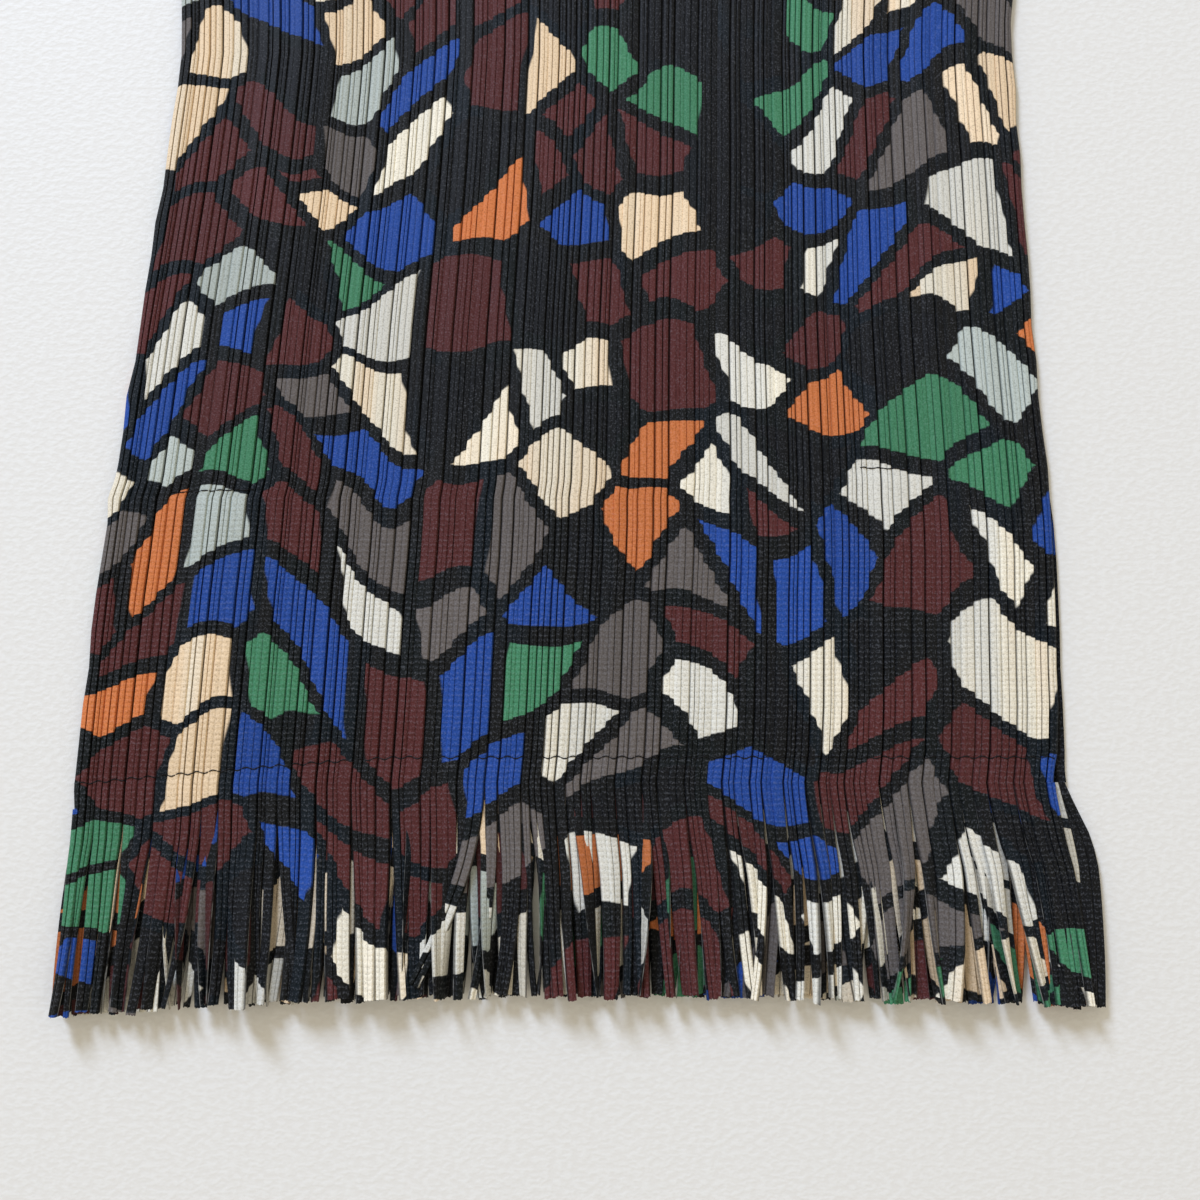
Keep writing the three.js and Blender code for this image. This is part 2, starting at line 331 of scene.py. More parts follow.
def panel_mesh(name, neck_depth, side):
    """The flat front or back, from the line where the cuts start up to its neck and armholes."""
    rows = [lambda u, up=up: cut_line(u) + up for up in ROWS_OVER_CUT]
    rows += [lambda u, y=y: y for y in LOWER_ROWS + TACK_ROWS + MIDDLE_ROWS]
    rows += [
        lambda u, share=(step + 1) / UPPER_ROWS: lerp(MIDDLE_ROWS[-1], top_edge(u, neck_depth), share)
        for step in range(UPPER_ROWS)
    ]
    fold_share = 1.0 if side == "front" else BACK_SHARE
    sheet = ClothMesh(name)
    grid = []
    for row_y in rows:
        row = []
        for column in COLUMNS:
            y = row_y(column["u"])
            x = across(column["u"], y, side)
            left, right = span_at(y, side)
            from_stitch = y - stitch_line(column["u"])
            pulled = STITCH_PULL["depth"] * math.exp(-((from_stitch / STITCH_PULL["reach"]) ** 2))
            facts = {key: column[key] for key in COLUMN_FACTS}
            facts["side_gap"] = min(x - left, right - x) * MM
            facts["sag"] = (sag_at(x, y, fold_share) - pulled) * MM
            row.append((x, y, column["lane"], y, facts))
        grid.append(row)
    sheet.grid(grid)
    return sheet.mesh()


class Value:
    """A socket of a node tree, on which sums add Math nodes."""

    def __init__(self, graph, socket):
        self.graph = graph
        self.socket = socket

    def __add__(self, other):
        return self.graph.math("ADD", self, other)

    def __sub__(self, other):
        return self.graph.math("SUBTRACT", self, other)

    def __mul__(self, other):
        return self.graph.math("MULTIPLY", self, other)

    def __truediv__(self, other):
        return self.graph.math("DIVIDE", self, other)

    def __pow__(self, other):
        return self.graph.math("POWER", self, other)

    def __rsub__(self, other):
        return self.graph.math("SUBTRACT", other, self)

    def __neg__(self):
        return self * -1

    __radd__ = __add__
    __rmul__ = __mul__


class Graph:
    """A node tree that is written as sums and calls."""

    def __init__(self, tree):
        self.tree = tree

    @classmethod
    def group(cls, name, kind):
        graph = cls(bpy.data.node_groups.new(name, kind))
        graph.entry = graph.tree.nodes.new("NodeGroupInput")
        graph.exit = graph.tree.nodes.new("NodeGroupOutput")
        return graph

    def take(self, name, value=None, kind="NodeSocketFloat"):
        socket = self.tree.interface.new_socket(name, in_out="INPUT", socket_type=kind)
        if value is not None:
            socket.default_value = value
        return Value(self, self.entry.outputs[name])

    def give(self, name, value, kind="NodeSocketFloat"):
        self.tree.interface.new_socket(name, in_out="OUTPUT", socket_type=kind)
        self.link(value, self.exit.inputs[name])

    def link(self, value, socket):
        if isinstance(value, Value):
            self.tree.links.new(value.socket, socket)
        else:
            socket.default_value = value

    def node(self, kind, inputs=None, out=0, **settings):
        """Adds a node and hands out one of its outputs."""
        node = self.tree.nodes.new(kind)
        for key, setting in settings.items():
            setattr(node, key, setting)
        for key, value in (inputs or {}).items():
            self.link(value, node.inputs[key])
        return Value(self, node.outputs[out])

    def effect(self, group, inputs):
        """Places a node group and hands out its outputs by name."""
        node = self.tree.nodes.new("ShaderNodeGroup")
        node.node_tree = group
        for key, value in inputs.items():
            self.link(value, node.inputs[key])
        return {socket.name: Value(self, socket) for socket in node.outputs}

    def math(self, operation, *values):
        return self.node("ShaderNodeMath", dict(enumerate(values)), operation=operation)

    def clamped(self, value):
        return self.node("ShaderNodeClamp", {"Value": value})

    def ease(self, value, start, end):
        """0 at start, 1 at end and smooth between."""
        inputs = {"Value": value, "From Min": start, "From Max": end}
        return self.node("ShaderNodeMapRange", inputs, interpolation_type="SMOOTHSTEP")

    def mixed(self, first, second, share):
        """The first colour at share 0, the second at 1."""
        return self.node("ShaderNodeMix", {0: share, 6: first, 7: second}, out=2, data_type="RGBA")

    def vector(self, x=0.0, y=0.0, z=0.0):
        return self.node("ShaderNodeCombineXYZ", {"X": x, "Y": y, "Z": z})

    def parts(self, vector):
        node = self.node("ShaderNodeSeparateXYZ", {"Vector": vector}).socket.node
        return [Value(self, socket) for socket in node.outputs]

    def noise(self, vector, scale, detail=2.0):
        inputs = {"Vector": vector, "Scale": scale, "Detail": detail}
        return self.node("ShaderNodeTexNoise", inputs)

    def noises(self, vector):
        """Three plain noises in one."""
        node = self.noise(vector, 1.0, 0.0).socket.node
        return self.parts(Value(self, node.outputs["Color"]))


GEOMETRY = "GeometryNodeTree"
SHADER = "ShaderNodeTree"


class Shaper(Graph):
    """A geometry node tree, with the few fields that the cloth's trees use."""

    def fact(self, name):
        return self.node("GeometryNodeInputNamedAttribute", {"Name": name}, data_type="FLOAT")

    def random(self, item, seed, low=-1.0, high=1.0):
        node = self.tree.nodes.new("FunctionNodeRandomValue")
        node.data_type = "FLOAT"
        self.link(low, node.inputs[2])
        self.link(high, node.inputs[3])
        self.link(item, node.inputs["ID"])
        self.link(seed, node.inputs["Seed"])
        return Value(self, node.outputs[1])

    def place(self):
        return self.parts(self.node("GeometryNodeInputPosition"))

    def marked(self, geometry, value):
        """Stores how far each face is from the printed side: 1 on a cut edge."""
        inputs = {"Geometry": geometry, "Name": "unprinted", "Value": value}
        settings = dict(data_type="FLOAT", domain="FACE")
        return self.node("GeometryNodeStoreNamedAttribute", inputs, **settings)

    def moved(self, geometry, position):
        return self.node("GeometryNodeSetPosition", {"Geometry": geometry, "Position": position})


def pleat_folder():
    """A group that raises a flat sheet into pleats, by where each point lies across its pleat."""
    g = Shaper.group("fold pleats", GEOMETRY)
    sheet = g.take("Sheet", kind="NodeSocketGeometry")
    groove_z = g.take("Groove Height", 0.003)
    depth = g.take("Pleat Depth", 0.0017)
    spread = g.take("Depth Spread", 0.16)
    crease_depth = g.take("Crease Depth", 0.0003)
    tilt = g.take("Tilt", 0.0004)
    wander = g.take("Wander", 0.0005)
    edge_sway = g.take("Edge Sway", 0.005)
    rounding = g.take("Side Rounding", 0.007)
    lowest = g.take("Lowest", 0.0004)
    facing = g.take("Facing", 1.0)
    seed = g.take("Seed", 1, "NodeSocketInt")
    x, y, _ = g.place()
    pleat = g.fact("pleat")
    slow = g.noise(g.vector(pleat * 3.7, y * 13, seed), 1.0) - 0.5
    slower = g.noise(g.vector(x * 16, y * 5, seed + 9), 1.0) - 0.5
    height = depth * (1 + spread * g.random(pleat, seed) + slow * 0.3 + slower * 0.4)
    lean = tilt * g.random(pleat, seed + 1) * (g.fact("phase") - 0.5)
    crease = crease_depth * (g.random(pleat, seed + 2, 0.3, 1.7) + slow * 1.5) * g.fact("crease")
    from_side = g.clamped(g.fact("side_gap") / rounding)
    rounded = g.math("SQRT", 1 - (1 - from_side) ** 2)
    raised = (g.fact("groove") * (height + lean) - crease) * rounded
    drift = (g.noise(g.vector(x * 22, y * 12, seed + 5), 1.0) - 0.5) * wander * 2 * rounded
    edge_place = g.vector(y * 34, g.math("SIGN", x) * 3, 0.0)
    drift = drift + (g.noise(edge_place, 1.0, 1.0) - 0.5) * edge_sway * (1 - from_side)
    laid = g.math("MAXIMUM", groove_z + raised * facing + g.fact("sag") * rounded, lowest)
    g.give("Cloth", g.moved(sheet, g.vector(x + drift, y, laid)), "NodeSocketGeometry")
    return g.tree


def cloth_thickener():
    """A group that makes a closed shell of a sheet and marks its cut edge and underside."""
    g = Shaper.group("give thickness", GEOMETRY)
    sheet = g.take("Cloth", kind="NodeSocketGeometry")
    thickness = g.take("Thickness", 0.0003)
    lowered = g.node(
        "GeometryNodeSetPosition",
        {"Geometry": sheet, "Offset": g.vector(0.0, 0.0, -thickness)},
    )
    upward = g.vector(0.0, 0.0, thickness)
    extrude = g.node(
        "GeometryNodeExtrudeMesh",
        {"Mesh": lowered, "Offset": upward, "Offset Scale": 1.0, "Individual": False},
        mode="FACES",
    ).socket.node
    walls = Value(g, extrude.outputs["Side"])
    raised = g.marked(Value(g, extrude.outputs["Mesh"]), walls * 1.0)
    under = g.marked(g.node("GeometryNodeFlipFaces", {"Mesh": lowered}), 0.55)
    both = g.tree.nodes.new("GeometryNodeJoinGeometry")
    g.tree.links.new(raised.socket, both.inputs[0])
    g.tree.links.new(under.socket, both.inputs[0])
    closed = g.node(
        "GeometryNodeMergeByDistance",
        {"Geometry": Value(g, both.outputs[0]), "Distance": 1e-7},
    )
    g.give("Shell", closed, "NodeSocketGeometry")
    return g.tree


FOLD = pleat_folder()
THICKEN = cloth_thickener()


# Edges that turn by more than these angles, in radians, are shaded sharp
CUT_EDGE_ANGLE = 1.2
VALLEY_ANGLE = 0.3


def finish_cloth(g, shell, material):
    """Adds the last nodes of a tree: smooth faces, sharp cut edges and valleys, and the material."""
    smooth = g.node("GeometryNodeSetShadeSmooth", {"Geometry": shell})
    bend = g.node("GeometryNodeInputMeshEdgeAngle", out="Unsigned Angle")
    valley = g.node("GeometryNodeInputMeshEdgeAngle", out="Signed Angle")
    is_cut = g.math("GREATER_THAN", bend, CUT_EDGE_ANGLE)
    sharp = is_cut + g.math("GREATER_THAN", valley, VALLEY_ANGLE)
    inputs = {"Geometry": smooth, "Selection": sharp, "Shade Smooth": False}
    creased = g.node("GeometryNodeSetShadeSmooth", inputs, domain="EDGE")
    real = g.node("GeometryNodeRealizeInstances", {"Geometry": creased})
    painted = g.node("GeometryNodeSetMaterial", {"Geometry": real, "Material": material})
    g.give("Piece", painted, "NodeSocketGeometry")
    return g.tree


def call(g, group, inputs):
    """Places a node group in a tree and hands out its first output."""
    node = g.tree.nodes.new("GeometryNodeGroup")
    node.node_tree = group
    for key, value in inputs.items():
        g.link(value, node.inputs[key])
    return Value(g, node.outputs[0])


FOLD_SIZES = (
    "Groove Height",
    "Pleat Depth",
    "Depth Spread",
    "Crease Depth",
    "Tilt",
    "Wander",
    "Side Rounding",
)


def take_fold_sizes(g):
    sizes = {name: g.take(name) for name in FOLD_SIZES}
    sizes["Facing"] = g.take("Facing", 1.0)
    sizes["Seed"] = g.take("Seed", 1, "NodeSocketInt")
    return sizes


def panel_tree():
    g = Shaper.group("pleated panel", GEOMETRY)
    sheet = g.take("Sheet", kind="NodeSocketGeometry")
    sizes = take_fold_sizes(g)
    thickness = g.take("Thickness", 0.0003)
    material = g.take("Material", kind="NodeSocketMaterial")
    folded = call(g, FOLD, {"Sheet": sheet} | sizes)
    shell = call(g, THICKEN, {"Cloth": folded, "Thickness": thickness})
    return finish_cloth(g, shell, material)


# Powers of the share of a strand's length by which it changes towards its tip
NARROWING_POWER = 1.2
TURN_POWER = 1.3
LEAN_POWER = 1.7
LIFT_POWER = 2


def fringe_tree():
    """Folds the strands' pleats, then lets each strand narrow, turn, sway and lift towards its tip."""
    g = Shaper.group("settled strands", GEOMETRY)
    sheet = g.take("Sheet", kind="NodeSocketGeometry")
    sizes = take_fold_sizes(g)
    thickness = g.take("Thickness", 0.0003)
    lift = g.take("Lift", 0.002)
    lift_spread = g.take("Lift Spread", 0.7)
    narrowing = g.take("Narrowing", 0.4)
    turn = g.take("Turn", 0.8)
    bow = g.take("Bow", 0.0015)
    lowest = g.take("Lowest", 0.00005)
    material = g.take("Material", kind="NodeSocketMaterial")
    folded = call(g, FOLD, {"Sheet": sheet} | sizes)
    shell = call(g, THICKEN, {"Cloth": folded, "Thickness": thickness})
    x, y, z = g.place()
    strand = g.fact("strand")
    along = g.fact("along")
    seed = sizes["Seed"]
    middle = g.fact("middle")
    lean = g.fact("lean")
    reach = g.fact("reach")
    from_middle = x - middle
    height = z - sizes["Groove Height"]
    squeeze = 1 - narrowing * g.random(strand, seed + 20, 0.05, 1.0) * along**NARROWING_POWER
    twist = g.random(strand, seed + 21) ** 3 + g.random(strand, seed + 24) * 0.25
    angle = turn * twist * along**TURN_POWER
    sine = g.math("SINE", angle)
    cosine = g.math("COSINE", angle)
    sideways = from_middle * squeeze * cosine + height * sine
    upward = height * cosine - from_middle * squeeze * sine
    raised = g.math("ABSOLUTE", sine) * g.fact("half_width") * squeeze
    curl = lift * along**LIFT_POWER * (1 + lift_spread * g.random(strand, seed + 22))
    swing = g.math("SINE", along * math.pi) * along * bow * g.random(strand, seed + 23)
    slope = lean * LEAN_POWER * along ** (LEAN_POWER - 1) / reach
    dropped = lean * lean * along / reach * 0.6
    crossing = g.fact("rise") * g.math("SINE", along * math.pi * 0.62)
    laid = g.math("MAXIMUM", sizes["Groove Height"] + upward + raised + curl + crossing, lowest)
    placed_x = middle + lean * along**LEAN_POWER + swing + sideways
    position = g.vector(placed_x, y + sideways * slope + dropped, laid)
    return finish_cloth(g, g.moved(shell, position), material)


def thread_tree():
    """Runs a line of stitches over a cloth: a thread that dips into the cloth between stitches."""
    g = Shaper.group("run stitches", GEOMETRY)
    path = g.take("Path", kind="NodeSocketGeometry")
    cloth = g.take("Cloth", kind="NodeSocketObject")
    radius = g.take("Thread Radius", 0.00016)
    pitch = g.take("Stitch Length", 0.0024)
    wave = g.take("Wave", 0.0003)
    step = g.take("Step", 0.0004)
    rise = g.take("Rise", 1.9)
    sink = g.take("Sink", 1.1)
    material = g.take("Material", kind="NodeSocketMaterial")
    inputs = {"Object": cloth}
    surface = g.node("GeometryNodeObjectInfo", inputs, out="Geometry", transform_space="RELATIVE")
    curve = g.node("GeometryNodeMeshToCurve", {"Mesh": path})
    even = g.node("GeometryNodeResampleCurve", {"Curve": curve, "Length": step}, mode="LENGTH")
    done = g.node("GeometryNodeSplineParameter", out="Length")
    x, y, _ = g.place()
    hit = g.node(
        "GeometryNodeRaycast",
        {
            "Target Geometry": surface,
            "Source Position": g.vector(x, y, 0.05),
            "Ray Direction": (0.0, 0.0, -1.0),
            "Ray Length": 0.1,
        },
        out="Hit Position",
    )
    height = g.parts(hit)[2]
    phase = done / pitch * math.pi
    dip = g.math("ABSOLUTE", g.math("SINE", phase)) ** 0.5
    swing = g.math("SINE", phase) * wave
    laid = g.moved(even, g.vector(x, y + swing, height + radius * (dip * rise - sink)))
    inputs = {"Resolution": 5, "Radius": radius}
    ring = g.node("GeometryNodeCurvePrimitiveCircle", inputs, mode="RADIUS")
    tube = g.node("GeometryNodeCurveToMesh", {"Curve": laid, "Profile Curve": ring, "Fill Caps": True})
    return finish_cloth(g, tube, material)


def shaped(name, mesh, tree, settings):
    """Puts a mesh through a node tree once, and keeps the result as a plain mesh."""
    piece = bpy.data.objects.new(name, mesh)
    bpy.context.scene.collection.objects.link(piece)
    modifier = piece.modifiers.new(name, "NODES")
    modifier.node_group = tree
    for item in tree.interface.items_tree:
        if item.item_type == "SOCKET" and item.in_out == "INPUT" and item.name in settings:
            modifier[item.identifier] = settings[item.name]
    scene_now = bpy.context.evaluated_depsgraph_get()
    result = bpy.data.meshes.new_from_object(piece.evaluated_get(scene_now), depsgraph=scene_now)
    result.name = name
    piece.modifiers.remove(modifier)
    piece.data = result
    bpy.data.meshes.remove(mesh)
    return piece


def linear(colour):
    """A colour as the eye sees it, 0 to 255 a channel, in the light's own numbers."""
    def channel(c):
        c = c / 255
        return c / 12.92 if c <= 0.04045 else ((c + 0.055) / 1.055) ** 2.4
    return (*[channel(c) for c in colour], 1)


# The print's colours as the eye sees them, each up to its share of the motifs, and the dark grounds
PALETTE = [
    dict(upto=0.13, colour=(9, 12, 16)),
    dict(upto=0.43, colour=(238, 231, 211)),
    dict(upto=0.63, colour=(83, 39, 38)),
    dict(upto=0.74, colour=(32, 72, 152)),
    dict(upto=0.82, colour=(68, 132, 96)),
    dict(upto=0.91, colour=(100, 94, 91)),
    dict(upto=0.95, colour=(208, 121, 68)),
    dict(upto=1.0, colour=(181, 190, 184)),
]
GROUNDS = [(4, 17, 25), (11, 13, 14), (6, 14, 16)]
PEACH = (240, 213, 176)
PALE_GREY = (214, 214, 206)
RAW_FIBRE = (150, 150, 146)
# A grey mixed into the print where the crepe grain and rib tops are brightest: painted sparkle
# highlights.
PAINTED_SPARKLE_GREY = (104, 107, 114)
PAINTED_SPARKLE_SHARE = 0.26


def print_group():
    """Uneven pebbles of colour on a dark ground, in the cloth's own coordinates."""
    g = Graph.group("pebble print", SHADER)
    cloth = g.take("Cloth", kind="NodeSocketVector")
    width = g.take("Motif Width", 0.1)
    height = g.take("Motif Height", 0.03)
    slant = g.take("Slant", 0.14)
    spreading = g.take("Spreading", 0.125)
    gap = g.take("Ground Gap", 0.1)
    bend = g.take("Bend", 0.016)
    seed = g.take("Seed", 0.0)
    x, y, _ = g.parts(cloth)
    bent_x, bent_y, _ = g.noises(g.vector(x * 13, y * 22, seed))
    spread, lifted, _ = g.noises(g.vector(x * 3.6, y * 4, seed + 3))
    across_cells = (x + (bent_x - 0.5) * bend + (spread - 0.5) * spreading) / width
    along_cells = (y + (bent_y - 0.5) * bend + (lifted - 0.5) * slant) / height
    inputs = {"Vector": g.vector(across_cells, along_cells + seed), "Scale": 1.0, "Randomness": 0.92}
    settings = dict(voronoi_dimensions="2D")
    cell = g.node("ShaderNodeTexVoronoi", inputs, feature="F1", **settings).socket.node
    edge = g.node("ShaderNodeTexVoronoi", inputs, feature="DISTANCE_TO_EDGE", **settings)
    own, own_tone, own_warmth = g.parts(Value(g, cell.outputs["Color"]))
    cluster = g.noise(Value(g, cell.outputs["Position"]), 0.42, 0.0)
    pick = g.math("FRACT", own * 0.34 + cluster * 3.4)
    ramp = g.node("ShaderNodeValToRGB", {"Fac": pick})
    stops = ramp.socket.node.color_ramp
    stops.interpolation = "CONSTANT"
    start = 0.0
    for number, entry in enumerate(PALETTE):
        stop = stops.elements[number] if number < 2 else stops.elements.new(start)
        stop.position = start
        stop.color = linear(entry["colour"])
        start = entry["upto"]
    shade = g.noise(g.vector(x * 9, y * 6, seed + 13), 1.0)
    gap_here = gap * (0.1 + shade + own_tone * 0.8)
    motif = g.ease(edge, gap_here, gap_here + 0.014)
    light = g.math("GREATER_THAN", g.node("ShaderNodeRGBToBW", {"Color": ramp}), 0.55)
    band = g.noise(g.vector(x * 16, y * 3, seed + 11), 1.0) + (own_warmth - 0.5) * 0.6
    motif_colour = g.mixed(ramp, linear(PEACH), g.ease(band, 0.48, 0.74) * light)
    motif_colour = g.mixed(motif_colour, linear(PALE_GREY), g.ease(band, 0.5, 0.28) * light * 0.8)
    toned = g.node("ShaderNodeHueSaturation", {"Color": motif_colour, "Value": 0.9 + own_tone * 0.2})
    ground = g.mixed(linear(GROUNDS[0]), linear(GROUNDS[1]), g.ease(shade, 0.42, 0.5))
    ground = g.mixed(ground, linear(GROUNDS[2]), g.ease(shade, 0.54, 0.6))
    g.give("Colour", g.mixed(ground, toned, motif), "NodeSocketColor")
    return g.tree


def grain_group():
    """Fine crepe of the cloth, and the cross ribs that the lower part was pressed into; its tone carries
    painted rib shading, and its flecks are painted sparkle highlights.
    """
    g = Graph.group("crepe grain", SHADER)
    place = g.take("Place", kind="NodeSocketVector")
    cloth = g.take("Cloth", kind="NodeSocketVector")
    fineness = g.take("Grains per Metre", 1450.0)
    rib_pitch = g.take("Rib Pitch", 0.0022)
    rib_top = g.take("Rib Top", -0.135)
    mottle = g.noise(place, fineness, 1.0)
    x, y, _ = g.parts(cloth)
    uneven = g.noise(g.vector(x * 260, y * 40, 0.0), 1.0, 0.0)
    wave = g.math("SINE", y / rib_pitch * (2 * math.pi) + uneven * 3)
    ribs = wave * g.ease(y, rib_top + 0.02, rib_top - 0.03)
    # The tone is the crepe's own uneven grain, plus painted rib shading: the ribs made lighter and darker
    # in turn.
    g.give("Tone", 1 + (mottle - 0.5) * 1.2 + ribs * 0.04)
    # Painted sparkle highlights: where the grain and the rib tops are brightest.
    g.give("Painted Sparkle", g.ease(mottle + ribs * 0.08, 0.5, 0.75))
    g.give("Height", mottle * 0.75 + ribs * 0.25)
    return g.tree


def fold_group():
    """Painted shade deep in the grooves and creases, and the paler cut edge and underside."""
    g = Graph.group("painted fold shade and raw fibre", SHADER)
    colour = g.take("Colour", kind="NodeSocketColor")
    dark = g.take("Painted Groove Shade", 0.8)
    fibre = g.take("Raw Fibre", 0.5)
    groove = g.node("ShaderNodeAttribute", out="Fac", attribute_name="groove")
    crease = g.node("ShaderNodeAttribute", out="Fac", attribute_name="crease")
    unprinted = g.node("ShaderNodeAttribute", out="Fac", attribute_name="unprinted")
    # Painted shade: the colour is darkened deep in the grooves and along the creases, where the folds'
    # shadow falls.
    painted_fold_shade = (1 - dark * g.ease(groove, 0.85, 0.15)) * (1 - dark * 0.8 * crease)
    shaded = g.node("ShaderNodeHueSaturation", {"Color": colour, "Value": painted_fold_shade})
    frayed = g.noise(g.node("ShaderNodeTexCoord", out="Object"), 160.0, 1.0)
    pale = unprinted * fibre * g.ease(frayed, 0.35, 0.65)
    g.give("Colour", g.mixed(shaded, linear(RAW_FIBRE), pale), "NodeSocketColor")
    return g.tree


PRINT = print_group()
GRAIN = grain_group()
PAINTED_FOLD_SHADE_AND_FIBRE = fold_group()


def printed_cloth(name, seed, raw_fibre=0.0, painted_shade_tone=1.0):
    """Matt printed polyester: the pebble print under a fine crepe grain, with a faint sheen."""
    material = bpy.data.materials.new(name)
    material.use_nodes = True
    g = Graph(material.node_tree)
    shader = g.tree.nodes["Principled BSDF"]
    cloth = g.node("ShaderNodeAttribute", out="Vector", attribute_name="cloth")
    place = g.node("ShaderNodeTexCoord", out="Object")
    pattern = g.effect(PRINT, {"Cloth": cloth, "Seed": seed})["Colour"]
    grain = g.effect(GRAIN, {"Cloth": cloth, "Place": place})
    # Painted sparkle highlights: grey mixed in where the grain is brightest.
    with_painted_sparkle = g.mixed(pattern, linear(PAINTED_SPARKLE_GREY), grain["Painted Sparkle"] * PAINTED_SPARKLE_SHARE)
    # A tone below 1 darkens the whole cloth: painted shade, used for the under strands.
    toned = g.node("ShaderNodeHueSaturation", {"Color": with_painted_sparkle, "Value": grain["Tone"] * painted_shade_tone})
    # Painted shade in the grooves and creases, and the paler raw fibre of the cut edges and underside.
    folded = g.effect(PAINTED_FOLD_SHADE_AND_FIBRE, {"Colour": toned, "Raw Fibre": raw_fibre})["Colour"]
    g.link(folded, shader.inputs["Base Color"])
    g.link(0.3 + grain["Tone"] * 0.3, shader.inputs["Roughness"])
    shader.inputs["Specular IOR Level"].default_value = 0.17
    shader.inputs["Sheen Weight"].default_value = 0.03
    shader.inputs["Sheen Roughness"].default_value = 0.5
    bump = g.node("ShaderNodeBump", {"Height": grain["Height"], "Strength": 0.6, "Distance": 0.0003})
    g.link(bump, shader.inputs["Normal"])
    return material


def thread_material():
    """Twisted dark sewing thread, with painted sheen highlights along its twist."""
    material = bpy.data.materials.new("dark thread")
    material.use_nodes = True
    g = Graph(material.node_tree)
    shader = g.tree.nodes["Principled BSDF"]
    place = g.node("ShaderNodeTexCoord", out="Object")
    twist = g.noise(place, 2500.0, 1.0)
    # The lighter colour, laid along the thread's twist, is a painted sheen highlight.
    colour = g.mixed(linear((9, 9, 11)), linear((46, 46, 50)), g.ease(twist, 0.5, 0.75))
    g.link(colour, shader.inputs["Base Color"])
    shader.inputs["Specular IOR Level"].default_value = 0.2
    g.link(0.5 + twist * 0.3, shader.inputs["Roughness"])
    return material


def table_material():
    """Near-white laminate with a soft leather-like grain."""
    material = bpy.data.materials.new("grained table")
    material.use_nodes = True
    g = Graph(material.node_tree)
    shader = g.tree.nodes["Principled BSDF"]
    place = g.node("ShaderNodeTexCoord", out="Object")
    x, y, _ = g.parts(place)
    grain = g.ease(g.noise(g.vector(x * 330, y * 480, 0.0), 1.0, 1.0), 0.3, 0.75)
    g.link(g.mixed(linear((231, 230, 226)), linear((235, 235, 232)), grain), shader.inputs["Base Color"])
    shader.inputs["Roughness"].default_value = 0.6
    bump = g.node("ShaderNodeBump", {"Height": grain, "Strength": 0.17, "Distance": 0.0005})
    g.link(bump, shader.inputs["Normal"])
    return material


BODY_CLOTH = printed_cloth("printed front cloth", seed=0.0)
BACK_CLOTH = printed_cloth("printed back cloth", seed=31.0)
TOP_STRAND_CLOTH = printed_cloth("printed top strands", seed=0.0, raw_fibre=0.5)
# The under strands are a darker copy of the same cloth: painted shade for the shadow they lie in under
# the top strands.
UNDER_STRAND_CLOTH = printed_cloth("printed under strands in painted shade", seed=17.0, raw_fibre=0.5, painted_shade_tone=0.68)
BACK_STRAND_CLOTH = printed_cloth("printed back strands", seed=31.0, raw_fibre=0.5)
THREAD = thread_material()

FRONT_FOLDS = {
    "Groove Height": 2.95 * MM,
    "Pleat Depth": 1.75 * MM,
    "Depth Spread": 0.14,
    "Crease Depth": 0.75 * MM,
    "Tilt": 0.9 * MM,
    "Wander": 0.35 * MM,
    "Side Rounding": 6 * MM,
    "Facing": 1.0,
    "Seed": 3,
    "Thickness": 0.35 * MM,
}
BACK_FOLDS = FRONT_FOLDS | {
    "Groove Height": 1.95 * MM,
    "Pleat Depth": 1.3 * MM,
    "Crease Depth": 0.3 * MM,
    "Tilt": 0.35 * MM,
    "Facing": -1.0,
    "Seed": 8,
    "Thickness": 0.3 * MM,
}


def strand_cuts(layer):
    """Grooves where the cloth is cut into strands: every groove but the shallowest."""
    shallow = sorted(range(1, PLEATS), key=groove_strength)
    kept_whole = set(shallow[: PLEATS - layer["strands"]])
    if layer["name"] in ("fringe_front", "fringe_back"):
        return [k for k in range(PLEATS + 1) if k not in kept_whole]
    return [round(PLEATS * edge) for edge in slot_edges(layer["strands"], 0.2, layer["seed"])]


def lean_at(x, number, layer):
    """How far a strand's tip strays sideways: in waves, on its own, and away from the partings."""
    seed = layer["seed"]
    waves = math.sin(x / STRAY["short_wave"] + seed) * STRAY["short_share"]
    waves += math.sin(x / STRAY["long_wave"] + 2 * seed) * STRAY["long_share"]
    lean = layer["sway"] * (waves + STRAY["own_share"] * unevenness(number, seed + 2))
    for parting in PARTINGS:
        away = (x - parting["x"]) / parting["reach"]
        lean += parting["push"] * (1 if away > 0 else -1) * math.exp(-abs(away))
    return lean * clamp((HALF_HEM - STRAY["still_edge"] - abs(x)) / STRAY["eased_over"], 0, 1)


